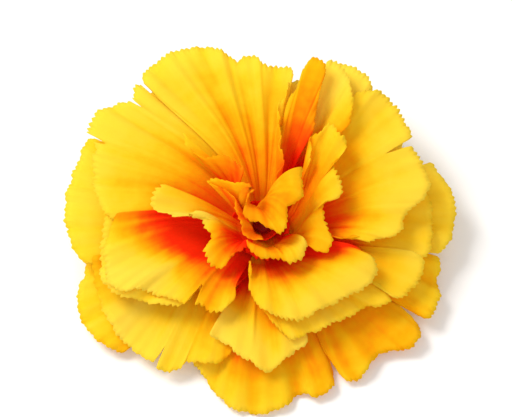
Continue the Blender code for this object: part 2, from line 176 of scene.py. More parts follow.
def add_node(tree, kind, links=(), **settings):
    """Adds a node. Settings name its inputs or attributes, and links are (input, source socket)."""
    node = tree.nodes.new(kind)
    for name, value in settings.items():
        spaced = name.replace("_", " ")
        if spaced in node.inputs:
            node.inputs[spaced].default_value = value
        else:
            setattr(node, name, value)
    for target, source in links:
        tree.links.new(source, node.inputs[target])
    return node


def new_material(name):
    """A material with an empty node tree, that tree, and its output node."""
    finish = bpy.data.materials.new(name)
    finish.use_nodes = True
    finish.node_tree.nodes.clear()
    return finish, finish.node_tree, finish.node_tree.nodes.new("ShaderNodeOutputMaterial")


print("#808080 in linear light:", round(linear("#808080")[0], 3))

# %% [markdown]
# ## The table's white board
#
# A painted white board: almost white, matt.

# %% Paint the table
finish, tree, output = new_material("white painted board")
shader = add_node(tree, "ShaderNodeBsdfPrincipled", Base_Color=linear("#F7F5F2"), Roughness=0.8)
tree.links.new(shader.outputs[0], output.inputs[0])
table.data.materials.append(finish)
print("made", finish.name)

# %% [markdown]
# ## The sprayed dye
#
# The cloth is dyed yellow, and the middle of each disc is sprayed red, which fades through
# orange. Each sheet carries two things to paint by. Its attribute "dye" is 0 where the red ends
# and 0.5 where the full yellow begins, and it also holds painted shade: it is lower in the dips
# of the creases and on the lobes that lie in shade. Its UV map "flat cut" holds every point where
# it lay before pressing. So the spray and the weave follow the cloth and not the view.
#
# Wet dye soaks into blots about 9 mm wide, and runs outward along the creases in fine streaks.
# Both shift the dye a little before a colour ramp turns it to a colour. The streaks are a noise
# on the direction from the disc's middle alone, so they all run outward. They are 3 mm wide at
# 39 mm from the middle, and narrower further in. A Math node's inputs are reached by number.

# %% Spray the dye
MOTTLE = 9 * MM
MOTTLE_DYE = 0.4
STREAK = 3 * MM
STREAK_FROM_MIDDLE = 39 * MM
STREAK_DYE = 0.22
FACTOR, ADDEND = 1, 2
DYE_STOPS = [
    (0.0, "#FF3206"), (0.075, "#FF4A06"), (0.175, "#FF7404"), (0.25, "#FF9E04"),
    (0.375, "#FFC408"), (0.5, "#FFDA22"), (0.65, "#FFE23C"), (1.0, "#FFE64C"),
]


def spray(tree, flat):
    """The sockets of the dye's colour and of its streaks, on the cloth's flat cut."""
    dye = add_node(tree, "ShaderNodeAttribute", attribute_name="dye")
    blot = add_node(tree, "ShaderNodeTexNoise", [("Vector", flat.outputs["UV"])],
                    Scale=1 / MOTTLE, Detail=4.0, Roughness=0.6)
    blots = add_node(tree, "ShaderNodeMath", [(0, blot.outputs["Fac"])], operation="MULTIPLY_ADD")
    blots.inputs[FACTOR].default_value = MOTTLE_DYE
    blots.inputs[ADDEND].default_value = -(MOTTLE_DYE + STREAK_DYE) / 2
    outward = add_node(tree, "ShaderNodeVectorMath", [(0, flat.outputs["UV"])],
                       operation="NORMALIZE")
    streak = add_node(tree, "ShaderNodeTexNoise", [("Vector", outward.outputs["Vector"])],
                      Scale=STREAK_FROM_MIDDLE / STREAK)
    streaks = add_node(tree, "ShaderNodeMath",
                       [(0, streak.outputs["Fac"]), (ADDEND, blots.outputs[0])],
                       operation="MULTIPLY_ADD")
    streaks.inputs[FACTOR].default_value = STREAK_DYE
    sprayed = add_node(tree, "ShaderNodeMath", [(0, dye.outputs["Fac"]), (1, streaks.outputs[0])],
                       operation="ADD")
    ramp = add_node(tree, "ShaderNodeValToRGB", [("Fac", sprayed.outputs[0])])
    while len(ramp.color_ramp.elements) < len(DYE_STOPS):
        ramp.color_ramp.elements.new(0.5)
    for element, (place, colour) in zip(ramp.color_ramp.elements, DYE_STOPS):
        element.position = place
        element.color = linear(colour)
    return ramp.outputs["Color"], streak.outputs["Fac"]


print(len(DYE_STOPS), "stops from", DYE_STOPS[0][1], "to", DYE_STOPS[-1][1])

# %% [markdown]
# ## The woven surface
#
# Fine ridges stand along the streaks. On top of them, warp and weft cross on the flat cut. Their
# threads are 0.2 mm apart, too fine to show here, so they are drawn 1 mm apart. At scale 1 a
# wave texture runs through 20 radians a unit, which gives its number of waves.

# %% Weave the surface
RIDGE_HEIGHT = 0.35 * MM
WEAVE = 1.0 * MM
THREAD_HEIGHT = 0.05 * MM
TURN = 2 * math.pi
WAVES_AT_SCALE_1 = 20 / TURN


def woven_normal(tree, flat, streak):
    """The socket of a normal with ridges and a plain weave."""
    warp, weft = (
        add_node(tree, "ShaderNodeTexWave", [("Vector", flat.outputs["UV"])],
                 bands_direction=way, Scale=1 / WEAVE / WAVES_AT_SCALE_1, Distortion=0.4)
        for way in "XY"
    )
    weave = add_node(tree, "ShaderNodeMath", [(0, warp.outputs["Fac"]), (1, weft.outputs["Fac"])],
                     operation="ADD")
    ridges = add_node(tree, "ShaderNodeBump", [("Height", streak)],
                      Strength=0.6, Distance=RIDGE_HEIGHT)
    threads = add_node(tree, "ShaderNodeBump",
                       [("Height", weave.outputs[0]), ("Normal", ridges.outputs["Normal"])],
                       Strength=0.08, Distance=THREAD_HEIGHT)
    return threads.outputs["Normal"]


print("threads drawn every", WEAVE / MM, "mm")

# %% [markdown]
# ## Dyed polyester cloth
#
# The cloth is a thin stiffened polyester taffeta. It is matt, and light comes through it, so
# petals glow where another petal doesn't shade them. A translucent shader is mixed in for that.

# %% Mix the cloth
THROUGH = 0.40


def petal_cloth():
    """Dyed taffeta: sprayed dye, ridges and weave, and light through the cloth."""
    finish, tree, output = new_material("dyed polyester taffeta")
    flat = add_node(tree, "ShaderNodeUVMap", uv_map="flat cut")
    colour, streak = spray(tree, flat)
    front = add_node(tree, "ShaderNodeBsdfPrincipled",
                     [("Base Color", colour), ("Normal", woven_normal(tree, flat, streak))],
                     Roughness=0.85)
    front.inputs["Specular IOR Level"].default_value = 0.08
    through = add_node(tree, "ShaderNodeBsdfTranslucent", [("Color", colour)])
    both = add_node(tree, "ShaderNodeMixShader", [(1, front.outputs[0]), (2, through.outputs[0])])
    both.inputs[0].default_value = THROUGH
    tree.links.new(both.outputs[0], output.inputs[0])
    return finish


cloth_finish = petal_cloth()
print("made", cloth_finish.name)

# %% [markdown]
# ## Moulded plastic
#
# The calyx under the discs and the pin through them are injection-moulded polyethylene: a waxy
# half-matt skin with a faint orange-peel, and slight flow marks where the melt met. The Mix node
# keeps a set of sockets for each kind of data, so its colours are reached by number.

# %% Mix the two plastics
PEEL = 1.2 * MM
PEEL_HEIGHT = 0.1 * MM
FLOW = 4 * MM
COLOUR_A, COLOUR_B, MIXED_COLOUR = 6, 7, 2


def moulded_plastic(name, colour, darker):
    """Waxy moulded polyethylene with a faint orange-peel and slight flow marks."""
    finish, tree, output = new_material(name)
    place = add_node(tree, "ShaderNodeTexCoord")
    flow = add_node(tree, "ShaderNodeTexNoise", [("Vector", place.outputs["Object"])],
                    Scale=1 / FLOW, Detail=3.0)
    tint = add_node(tree, "ShaderNodeMix", [("Factor", flow.outputs["Fac"])], data_type="RGBA")
    tint.inputs[COLOUR_A].default_value = linear(colour)
    tint.inputs[COLOUR_B].default_value = linear(darker)
    peel = add_node(tree, "ShaderNodeTexNoise", [("Vector", place.outputs["Object"])],
                    Scale=1 / PEEL, Detail=2.0)
    bump = add_node(tree, "ShaderNodeBump", [("Height", peel.outputs["Fac"])],
                    Strength=0.15, Distance=PEEL_HEIGHT)
    mixed = tint.outputs[MIXED_COLOUR]
    shader = add_node(tree, "ShaderNodeBsdfPrincipled",
                      [("Base Color", mixed), ("Normal", bump.outputs["Normal"])], Roughness=0.6)
    shader.inputs["Specular IOR Level"].default_value = 0.15
    tree.links.new(shader.outputs[0], output.inputs[0])
    return finish


CAD_FINISHES = {
    "calyx": moulded_plastic("green moulded polyethylene", "#3F7A33", "#2E5F27"),
    "pin": moulded_plastic("red moulded polyethylene", "#8A0A04", "#6A0603"),
}
for node, finish in CAD_FINISHES.items():
    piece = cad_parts[node]
    piece.data.materials.clear()
    piece.data.materials.append(finish)
    print(node, "is", finish.name)

# %% [markdown]
# ## The cut of each disc
#
# The frame's discs were shaped from a list of their lobes. The same list, with dye, folds, nicks
# and open cuts added, makes the fine sheets, so they lie where the solids are. A disc has a
# name, the reach in mm of its flat collar, and its lobes, counter-clockwise. A lobe has:
#
# - start: the direction in degrees in which its first side leaves the collar,
# - rise and droop: how steeply it leaves the collar and reaches the rim, in degrees above level,
#   as one number or as several from its first side to its last,
# - dye: how far out in mm the red ends and the full yellow begins, in pairs from side to side
#   (the lower the first number, the less red is left in the middle); on lobes that lie in shade
#   under others, the yellow begins further out, which paints their shade as a more golden tone,
# - rim: the points that its rim runs through, as direction in degrees, reach and height in mm,
# - folds: narrow folds, each with its share of the way along the rim, height and width in mm,
# - open_cut: whether the slit after it gapes at the rim,
# - nicks: small cuts in the rim, each with its place, counted in rim points, the share of the
#   lobe's length that it takes away, and its half width in mm.

# %% List the lobes of every disc
Lobe = namedtuple("Lobe", "start rise droop dye rim folds open_cut nicks", defaults=[(), False, ()])
Disc = namedtuple("Disc", "name collar lobes")

DISCS = [
    Disc("petal_layer_1", 12.0, [
        Lobe(5, (6,), (-12,), (16, 26), [(9, 41, 6), (20, 43, 7), (34, 41, 8)]),
        Lobe(36, (12,), (-5,), (16, 26), [(38, 40, 9), (54, 42, 10), (72, 41, 10)]),
        Lobe(74, (12,), (-5,), (16, 26), [(76, 40, 10), (96, 41, 11), (117, 40, 10)]),
        Lobe(119, (10,), (-5,), (16, 26), [(122, 41, 10), (134, 43, 10), (145, 43, 10), (153, 42, 9)]),
        Lobe(155, (6,), (-10,), (0, 46), [(157, 41, 7), (172, 43, 6), (189, 41, 5.5)], open_cut=True),
        Lobe(191, (6,), (-12,), (2.5, 37, 8, 41.5, -5.5, 49), [(187.6, 42.3, 5.4), (192.6, 43.3, 5.2),
             (197.1, 45.3, 5), (200.7, 46.7, 4.6), (204.7, 47.2, 4.2), (207.9, 47.4, 3.9),
             (211, 46.8, 3.7), (214.9, 46, 3.4), (218.7, 44.7, 3), (221.5, 42.8, 2.8),
             (221.5, 41.3, 2.8), (221.7, 38.9, 3)]),
        Lobe(238, (4,), (-16,), (1.5, 28.5, 26, 38.5, 7.5, 41, 4.5, 46), [(240.7, 34.4, 3),
             (244.1, 35.3, 2.4), (248, 36.7, 1.8), (252.2, 38.8, 1.5), (256.1, 40.6, 1.4),
             (260.6, 42.4, 1.3), (265.4, 43.2, 1.4), (271.8, 43.2, 1.5), (277.3, 41.8, 1.6),
             (281.7, 39.9, 1.8), (284.8, 39.9, 2), (287.9, 41.4, 2), (291.4, 41.2, 2),
             (294.4, 40, 2.2), (297.2, 37.2, 2.6)], open_cut=True),
        # Lobes 299 and 332 lie in shade under the discs above: their yellow begins further out, so part
        # of their golden tone is painted shade.
        Lobe(299, (4,), (-15,), (6, 44, 13.5, 40.5, -3, 58.5, 9, 35.5), [(297.8, 36, 2.7),
             (298, 38.2, 2.4), (299, 40.3, 2.2), (300.4, 41.4, 2.2), (303.3, 41.6, 2.4),
             (307.4, 40.7, 2.7), (312.9, 39.9, 3), (315.3, 40.5, 3), (318, 42.2, 3.1),
             (320.9, 44, 3.2), (323.9, 44.7, 3.4), (327, 44.5, 3.8), (329.3, 42.7, 4.2),
             (330.9, 40.7, 4.3)], open_cut=True),
        Lobe(332, (6,), (-12,), (2, 59.5, -3.5, 37.5, 10, 40), [(332, 39.8, 4.2), (331.9, 40.9, 4.3),
             (332.1, 42.4, 4.4), (333, 44.4, 4.6), (336.4, 44.8, 4.8), (340.5, 44.7, 5),
             (344.7, 43.3, 5.4), (349, 43.1, 5.8), (352.9, 42.1, 6.2)]),
    ]),
    Disc("petal_layer_2", 11.0, [
        Lobe(-8, (14,), (-4,), (8, 32, -0.5, 37, 12, 27.5), [(-7, 42.5, 7.6), (-2, 45, 8.6),
             (5, 46.4, 9.6), (13, 46.6, 10.6), (22, 44.4, 12)]),
        Lobe(24, (18,), (0,), (16, 26), [(23, 41, 12.5), (31, 40.2, 13.2), (39, 41, 14),
             (47, 42.2, 15), (51, 41.5, 15.6)]),
        Lobe(52, (22,), (2,), (16, 26), [(53, 41.5, 16.2), (59, 43, 16.8), (66, 42.6, 17.2),
             (72, 40, 17.4)]),
        Lobe(74, (22,), (2,), (16, 26), [(75, 38, 17.4), (82, 37.4, 17.4), (89, 37.4, 17.2),
             (97, 38.6, 17)]),
        Lobe(98, (20,), (2,), (4, 42), [(99, 39, 17), (105, 43.6, 16.8), (112, 46, 16.4),
             (119, 46.2, 15.8), (126, 44, 15)]),
        Lobe(129, (16,), (-2,), (0, 46), [(130, 43, 14.8), (134, 43, 14), (140, 46, 13.2),
             (145, 46.6, 12.8), (149, 45, 12.2)], open_cut=True),
        Lobe(150, (12,), (-6,), (-3, 39.5, -9, 30.5, -6.5, 37), [(149.7, 46.3, 12),
             (150.9, 48.3, 11.8), (156.9, 48, 11.6), (163.6, 47.8, 11.3), (170.7, 47.5, 11),
             (176.4, 47, 10.7), (182.7, 45.6, 10.1), (187.6, 43.7, 9.4), (189, 42.2, 9)],
             folds=[(0.86, 0.4, 0.9)]),
        Lobe(191, (9,), (-10,), (1, 49.5, 17, 27, -8, 28.5, -4.5, 37.5), [(192.7, 40.7, 8.4),
             (203.1, 41.7, 7), (214.1, 42.1, 5.8), (222.1, 41.8, 5), (227.7, 41.1, 4.6),
             (231.5, 41, 4.4), (234.1, 41.2, 4.4), (237.2, 40.3, 4.4), (240.1, 38.6, 4.6),
             (241.4, 36, 5), (247.8, 35, 5.2), (253.4, 33.3, 5.6), (256.7, 30.4, 6.2)],
             folds=[(0.78, 0.6, 1.2)], nicks=[(5.4, 0.2, 0.5)]),
        Lobe(248, (8,), (-16,), (17.5, 20.5, 7, 21, 15.5, 29, 11.5, 14.5), [(245.2, 29.3, 8.6),
             (250.2, 29.4, 8.2), (255.3, 30.1, 8), (259.4, 31.6, 7.8), (265.1, 32.8, 7.6),
             (268.4, 34.4, 7.4), (271.1, 35.1, 7.2), (274.5, 34.7, 7.2), (278, 33, 7.4),
             (283.2, 31.3, 7.7), (288.2, 30.4, 8), (288.3, 28.1, 8.2)], folds=[(0.4, 0.6, 1)]),
        # Lobes 291 and 333 lie in shade too: their yellow begins further out, so part of their golden
        # tone is painted shade.
        Lobe(291, (8,), (-10,), (12, 40), [(293, 26, 8), (304, 26, 8), (317, 27, 8), (331, 30, 7.8)]),
        Lobe(333, (8,), (-10,), (8, 38), [(335, 33, 7.2), (342, 35, 7.2), (350, 36, 7.4)]),
    ]),
    Disc("petal_layer_3", 10.0, [
        Lobe(-13, (22, 18, 18), (-8,), (20.5, 32.5, 7, 33.5, -0.5, 35.5), [(-11.2, 33.7, 11),
             (-12, 36.6, 11), (-11, 39.1, 11.2), (-8.5, 40.3, 11.4), (-5, 40.1, 11.8),
             (-0.6, 40.5, 12), (4.3, 40.5, 12.6), (9.2, 40.3, 13.2)]),
        Lobe(15, (24,), (0,), (19, 27), [(13, 38, 14.2), (22, 38.6, 14.8), (30, 38.8, 15.6),
             (37, 39, 16.4)]),
        Lobe(42, (28,), (4,), (19, 27, 19, 27), [(39.7, 40.1, 17.2), (44.1, 41, 18),
             (47.8, 42.5, 18.6), (52, 43.3, 19), (54.9, 44.9, 19.4), (58.3, 45.4, 19.6),
             (61.7, 45.3, 19.8), (65.6, 44.9, 20), (68.9, 44.2, 20)]),
        Lobe(67, (30,), (4,), (19, 28), [(69, 38, 19), (76, 36.6, 19), (84, 36, 19), (93, 36.4, 18.8)]),
        Lobe(93, (28,), (2,), (8, 40), [(98, 37.4, 18), (106, 40.6, 17.6), (114, 42, 17),
             (122, 41, 16.4), (127, 39, 16)]),
        Lobe(131, (24,), (-2,), (16, 30), [(133, 38, 16.4), (144, 40.4, 15.6), (155, 40, 15.2),
             (167, 38, 15.2), (177, 34.4, 14.8)]),
        Lobe(181, (18,), (-14,), (19, 33.5, 10.5, 24.5), [(177.7, 35.4, 14.6), (181.6, 37, 14.2),
             (185.9, 37.8, 13.6), (190.7, 38.4, 13.2), (195.4, 39.3, 13), (199.9, 39.9, 12.6),
             (205, 39.3, 12.3), (209.4, 37.3, 12.2), (214, 34.4, 12), (218, 32.4, 11.8),
             (223.1, 29.9, 11.8), (226.7, 27.4, 11.8), (227, 24.9, 12), (224.4, 22.5, 12.2)],
             folds=[(0.2, -0.8, 1.6)]),
        Lobe(228, (18,), (-20,), (14, 21.5), [(225.1, 21.5, 11.6), (231.7, 22.2, 11.4),
             (237.8, 22.3, 11.2), (242.7, 21.8, 11.2), (245.5, 20.2, 11.2), (246.2, 17.9, 11.4)]),
        Lobe(255, (14,), (-20,), (1, 27.5, -11, 19, -1, 35.5), [(266.7, 20.2, 11.8),
             (273.5, 22.9, 11), (278.6, 26.2, 10.4), (283, 28.7, 9.9), (287.4, 29.3, 9.8),
             (292.1, 28.8, 9.9), (297.7, 29.3, 10), (304.2, 29.3, 10), (310.4, 30.1, 10),
             (314.8, 31, 10.1), (319.8, 31.4, 10.3), (322.5, 33.7, 10.3), (325.8, 35.2, 10.3),
             (328.5, 33.6, 10.6), (330.7, 31.3, 10.8)]),
        Lobe(329, (14, 13, 8), (-12, -12, -6), (14.5, 28, -11, 31, 21.5, 29.5), [(333.7, 30.8, 10.6),
             (331.8, 33.4, 10.2), (330.9, 36.1, 10), (332.1, 37.5, 10), (336.5, 38.3, 10.1),
             (340.3, 39.3, 10.3), (344.5, 39.5, 10.6), (346.8, 38.4, 10.7), (347.3, 36, 10.6)]),
    ]),
    Disc("petal_layer_4", 8.5, [
        Lobe(-20, (34, 36, 40), (-12, -6, 0), (9.5, 25.5, 14.5, 26.5, 8, 28.5, 3.5, 34), [
             (-18.1, 18.7, 16.8), (-14.5, 21.7, 16.6), (-14.6, 25.5, 16.5), (-11.3, 28.1, 16.7),
             (-9.4, 31.4, 17), (-5.5, 32.9, 17.2), (-0.7, 33.5, 17.6), (3.6, 35.7, 18),
             (6, 38.3, 18.2), (10.1, 40, 18.6), (15.5, 40.5, 19), (20.3, 40.2, 19.3),
             (25, 39.9, 19.5), (29.3, 40.7, 19.8), (34.4, 41.7, 20.2), (39.8, 42.5, 20.6),
             (44.6, 42.9, 21), (48.4, 42, 21.6), (51.3, 39.9, 22.4), (53.3, 38.1, 23)],
             folds=[(0.235, -0.5, 0.8)], nicks=[(12.6, 0.22, 0.8)]),
        Lobe(50, (42,), (10,), (2, 34.5, 14, 27.5, 17, 20), [(45.7, 29.8, 24.4), (50.1, 33.7, 24.8),
             (54.1, 36.7, 24.8), (58.4, 39.3, 24.6), (61.9, 41.4, 24.2), (65, 42.3, 24),
             (67.6, 41.8, 24)]),
        Lobe(60, (46,), (8,), (17, 28.5, 12.5, 49, -3, 28.5), [(57.4, 22.4, 24), (62.7, 28.5, 25.6),
             (65.2, 34.1, 26.8), (66.3, 38, 27.4), (69.8, 39.4, 27.5), (72.7, 38.7, 27.2),
             (74.2, 35.2, 26.6), (75.3, 31.9, 25.6), (76, 28.7, 24.2), (77.2, 25.8, 22.6)]),
        Lobe(78, (38, 40, 40, 38), (0, 0, -2, -6), (4.5, 35, 6, 33, -6, 27.5, 4.5, 31.5, 14, 32.5), [
             (82.7, 34.5, 19.8), (89.9, 36, 19.6), (97.4, 37.2, 19.2), (104.7, 41.9, 18.8),
             (112.4, 44.7, 18.4), (119.6, 45.2, 18), (124.5, 43.7, 17.8), (128, 42.4, 17.8),
             (129.4, 45.9, 18.2), (131, 46.5, 18.3), (133.7, 45.1, 18.2), (136.3, 44.1, 18),
             (138.8, 46.5, 17.8), (142.4, 48.1, 17.6), (146.6, 48.5, 17.3), (150.4, 48.1, 17.1),
             (152.1, 46.1, 17), (154.5, 44, 16.8), (158.9, 42.9, 16.6), (165, 41.3, 16.4),
             (171.1, 39.2, 16.4), (175.8, 37.3, 16.6), (179.1, 35, 16.8)],
             folds=[(0.3, 0.6, 1.6), (0.62, -0.6, 1.6)], nicks=[(10.6, 0.1, 0.5), (16, 0.1, 1.2)]),
        Lobe(166, (30, 26), (-14, -20), (22.5, 39.5, 22.5, 30, 18.5, 22.5, 9, 27.5, 15, 21), [
             (180.6, 34.3, 16), (186, 36.1, 15.4), (191.9, 37.3, 14.8), (197.7, 38.4, 14.4),
             (202.8, 39, 14.1), (206.3, 38.5, 13.9), (208.9, 36.8, 13.8), (210.2, 34.3, 13.8),
             (213.4, 32.2, 13.7), (217.8, 30.5, 13.5), (222.9, 28.8, 13.3), (227.6, 27.5, 13.1),
             (231.3, 26.3, 13), (235.6, 25.4, 12.9), (241.1, 25.3, 12.8), (246.3, 24.7, 12.7),
             (249.3, 22.9, 12.9), (250.3, 20, 13.2)],
             folds=[(0.04, -0.45, 0.9), (0.095, -0.45, 0.9), (0.15, -0.3, 1)],
             nicks=[(11.9, 0.3, 1.1)]),
        Lobe(250, (40,), (-30,), (-13.5, 17, 9, 20, 8.5, 20, 23.5, 28), [(257.9, 12.2, 15),
             (258.6, 15.3, 14.4), (260.3, 17.9, 14), (266.1, 20.6, 13.6), (273.4, 23, 13.4),
             (281.1, 24.9, 13.3), (287.7, 26.4, 13.3), (293.1, 26.3, 13.4), (300.1, 26.1, 13.7),
             (307, 26.8, 13.9), (314.2, 27.5, 14.1), (320.1, 28.6, 14.4), (325.8, 29.6, 14.6),
             (331.3, 30.1, 14.9), (335.9, 29.5, 15.2), (339.3, 27.1, 15.5), (340.6, 23.7, 15.7)]),
    ]),
    Disc("petal_layer_5", 7.0, [
        Lobe(-36, (62,), (-30, 40), (-1, 20.5, -17.5, 17, -5, 24.5, 1, 21), [(-32.1, 15.3, 17.8),
             (-31.3, 17.9, 18), (-24.1, 17.8, 18.6), (-16.9, 16.5, 19.4), (-8.4, 14.8, 20.4),
             (0.2, 14.2, 21.2), (6.2, 15.9, 22), (8.5, 18.3, 22.6), (16.1, 19.2, 23.2),
             (25.3, 19.1, 23.8), (31.4, 18.9, 24.2), (33.4, 21.3, 24.6), (35.6, 23.9, 25),
             (39.8, 25.4, 25.2), (45.7, 25.6, 25.4), (51.6, 25.8, 25.4), (52.8, 23, 25.4),
             (53.2, 20, 25.2), (49.9, 17.5, 24.6), (44, 15.3, 24.2)], folds=[(0.82, -0.5, 0.8)]),
        Lobe(33, (60,), (0,), (30, 40), [(36, 7.7, 11.6), (45, 7.7, 11.6), (54, 7.7, 11.6)]),
        Lobe(57, (72, 56, 50, 48, 42), (75, 15, 0, 0, 0),
             (-14.5, 37, -13.5, 26, -11.5, 33.5, -15.5, 27.5), [
             (61.6, 7.8, 25.2), (65.6, 10.7, 25.8), (70.4, 13.9, 26.4), (74.9, 17.1, 26.2),
             (79.4, 20.6, 25.4), (80.6, 24.8, 24.2), (80.1, 29.3, 23), (79.2, 33.6, 22.2),
             (78.1, 37.6, 21.6), (80.7, 39.2, 21.2), (85, 39.3, 21), (89.2, 39.5, 20.9),
             (91.3, 41.5, 20.9), (93.6, 42.2, 20.8), (95.9, 42.1, 20.7), (98.3, 41.5, 20.6),
             (101.7, 44.2, 20.3), (105.1, 46.5, 20.1), (109.8, 48.2, 19.9), (114.8, 48.8, 19.7),
             (119.9, 48.9, 19.5), (124.2, 48.4, 19.2), (128.4, 46.8, 19), (128.4, 43.9, 19),
             (128.5, 41, 19.1)],
             folds=[(0.47, -0.6, 1.4), (0.58, -0.7, 1.6), (0.665, 0.6, 1.6),
                    (0.745, -0.7, 1.6), (0.82, 0.5, 1.6)], open_cut=True),
        Lobe(116, (54, 62), (10, 55), (9, 26.5, -1, 21.5), [(132.8, 28, 20.2), (134.9, 25.5, 20.6),
             (136.5, 22.5, 21.4), (136.6, 18.8, 22.6), (127.8, 15.3, 24), (120.2, 12.1, 25),
             (117.2, 8.7, 25.6)], folds=[(0.3, -0.7, 0.8), (0.5, 0.7, 0.8), (0.7, -0.7, 0.8)]),
        Lobe(140, (30,), (-20,), (30, 40), [(146, 7.8, 11.2), (170, 7.8, 11.2), (193, 7.7, 11.2),
             (212, 7.7, 11.2), (232, 7.7, 11.2)]),
        Lobe(238, (60,), (-30,), (12, 18), [(244, 8.2, 14), (264, 9.8, 14.8), (286, 10.6, 15.2),
             (308, 11, 15.8), (321, 11.5, 16.6)]),
    ]),
    Disc("petal_layer_6", 5.4, [
        Lobe(-30, (60,), (0,), (30, 40), [(-26, 6.8, 13.6), (0, 6.4, 13.4), (20, 6.2, 13.2),
             (40, 6.2, 13.2)]),
        Lobe(44, (60,), (0,), (30, 40), [(60, 6.2, 13.2), (80, 6.2, 13.2), (106, 6.2, 13.2)]),
        Lobe(108, (50,), (0,), (30, 40), [(114, 6.2, 12.8), (136, 6.1, 12.6), (158, 6.1, 12.4)]),
        Lobe(163, (40, 52, 62), (18, -20, -50), (1.5, 22.5, 4, 7.5, 6.5, 17, 8.5, 17.5), [
             (165.8, 23.9, 22.2), (170.2, 25.1, 22.2), (175.3, 25.7, 21.8), (179.9, 25.4, 21.2),
             (182, 23.3, 20.8), (183.3, 21.4, 20.6), (185.4, 20.1, 20.4), (184.6, 18.4, 20.6),
             (183.6, 16.8, 20.8), (187.9, 15.7, 20.4), (189.2, 14.6, 20.2), (197, 14.1, 19.6),
             (207.5, 13.1, 18.8), (211.5, 14.7, 18.4), (214.8, 16.1, 17.8), (221.5, 16.7, 16.9),
             (229, 17, 16.2), (234.2, 16.3, 16), (236.7, 14.4, 16.2), (235.5, 12.3, 16.6),
             (239.8, 10.2, 17), (245.6, 8.4, 17.4)]),
        Lobe(240, (62,), (-60,), (2.5, 14.5, -4, 14, 8, 11), [(248, 9.8, 20), (257, 10.6, 19.5),
             (268, 11.3, 19.1), (279, 12.2, 18.8), (290, 13.3, 18.6), (301, 14.3, 18.4),
             (312, 14.6, 18.6), (323, 13, 19.2)], folds=[(0.58, -0.6, 0.5)]),
    ]),
    Disc("petal_layer_7", 3.7, [
        Lobe(86, (84,), (-40, -40, -40, -40, 30), (-28.5, 15.5, -26, 18.5, -15.5, 16.5), [
             (40.7, 11.6, 26.8), (28, 10.7, 26.6), (11.9, 9.9, 26.3), (-2.5, 8.5, 25.9),
             (-18, 6.3, 25.4), (-36.5, 6.8, 25), (-48.7, 8.3, 24.2), (-61.7, 9.1, 23.2),
             (-72.5, 6.8, 23.2), (-95.2, 5.3, 23.8), (-125.6, 5.6, 24.4), (-146.8, 5.2, 25.2),
             (-160.4, 3.9, 26.2), (-178.5, 2.8, 26.8), (-219.3, 2.1, 27.1)]),
        Lobe(150, (84,), (30, 40), (-18.5, 16.5, -5, 20.5, -11, 17), [(150.5, 2.9, 26.9),
             (139, 4.6, 26.4), (141.6, 7.1, 25.8), (149.2, 10.3, 25.2), (153.7, 13, 24.8),
             (157.3, 13.9, 24.6), (156.9, 12.1, 24.2), (155.8, 9.9, 24), (163.5, 8.2, 23.8),
             (179.4, 6.7, 23.6), (200.2, 6.2, 23.8), (220, 6.6, 23.4), (237.8, 7.8, 22.4),
             (253.6, 8.2, 21.4), (269.9, 8.8, 20.6)]),
        Lobe(264, (70,), (40,), (30, 40), [(274, 4.6, 13.8), (300, 4.6, 13.8), (330, 4.6, 14),
             (358, 4.6, 14), (384, 4.6, 14), (415, 4.6, 14), (442, 4.6, 14)]),
    ]),
]
for disc in DISCS:
    print(disc.name, "has", len(disc.lobes), "lobes")

# %% [markdown]
# ## Lines and directions
#
# From here on lengths are in mm, up to the finished mesh. Four small helpers draw a smooth line
# through a few points, spread a few values over a lobe, place points round the flower's axis,
# and make arrows one long. Numpy works on a whole lobe at once.

# %% Helpers for lines and directions
TINY = 1e-9


def smooth_line(points, shares):
    """Places at the given shares, from 0 to 1, of a smooth line through the points."""
    points = np.array(points, float)
    last = len(points) - 1
    place = np.clip(shares, 0, 1) * last
    start = np.minimum(place.astype(int), last - 1)
    step = (place - start)[:, None]
    a, b = points[np.maximum(start - 1, 0)], points[start]
    c, d = points[start + 1], points[np.minimum(start + 2, last)]
    return 0.5 * (2 * b + (c - a) * step + (2 * a - 5 * b + 4 * c - d) * step ** 2
                  + (3 * b - a - 3 * c + d) * step ** 3)


def between(values, shares):
    """The values at the given shares of the way along evenly spaced values."""
    return np.interp(shares, np.linspace(0, 1, len(values)), values)


def round_axis(radius, azimuth, height):
    """Points from their distance to the axis, azimuth in degrees and height."""
    angle = np.radians(azimuth)
    return np.stack([radius * np.cos(angle), radius * np.sin(angle), height + 0 * angle], axis=-1)


def unit(vectors):
    """The same vectors, one long."""
    return vectors / np.maximum(np.linalg.norm(vectors, axis=-1, keepdims=True), TINY)


print("halfway from 0 to 10:", between([0, 10], [0.5]))

# %% [markdown]
# ## Ribs along the rim
#
# A rib is one line of cloth from the collar to the rim, and a lobe is a row of them side by
# side. They stand four to a tooth, so the pinked edge comes out as a zigzag in the last row of
# points. The rim is measured in fine steps first, so that the ribs stand at even distances.

# %% Space the ribs
TOOTH_PITCH = 1.3
RIBS_A_TOOTH = 4
FEWEST_TEETH = 2
FINE_STEPS = 40


def even_shares(rim):
    """Shares along a rim at even distances, four to a tooth, and those distances in mm."""
    fine = np.linspace(0, 1, FINE_STEPS * len(rim))
    azimuth, reach, height = smooth_line(rim, fine).T
    steps = np.linalg.norm(np.diff(round_axis(reach, azimuth, height), axis=0), axis=1)
    run = np.concatenate([[0], np.cumsum(steps)])
    teeth = max(FEWEST_TEETH, round(run[-1] / TOOTH_PITCH))
    marks = np.linspace(0, run[-1], teeth * RIBS_A_TOOTH + 1)
    return np.interp(marks, run, fine), marks


print(len(even_shares(DISCS[0].lobes[0].rim)[0]), "ribs in the first lobe")

# %% [markdown]
# ## Bending the ribs
#
# Each rib is a Bezier curve. It leaves the collar at its rise and reaches the rim at its droop,
# and its handles are a fixed share of the straight line between its ends, which gives the even
# sweep of stiff cloth. A hair's breadth is left between two lobes at the collar, so that a slit
# has two sides. Where the rim has a nick, a rib simply stops earlier on its curve.

# %% Bend the ribs
HANDLE = 0.38
SLIT_AT_COLLAR = 0.08
LEVEL = np.array([1, 1, 0])
UP = np.array([0, 0, 1])


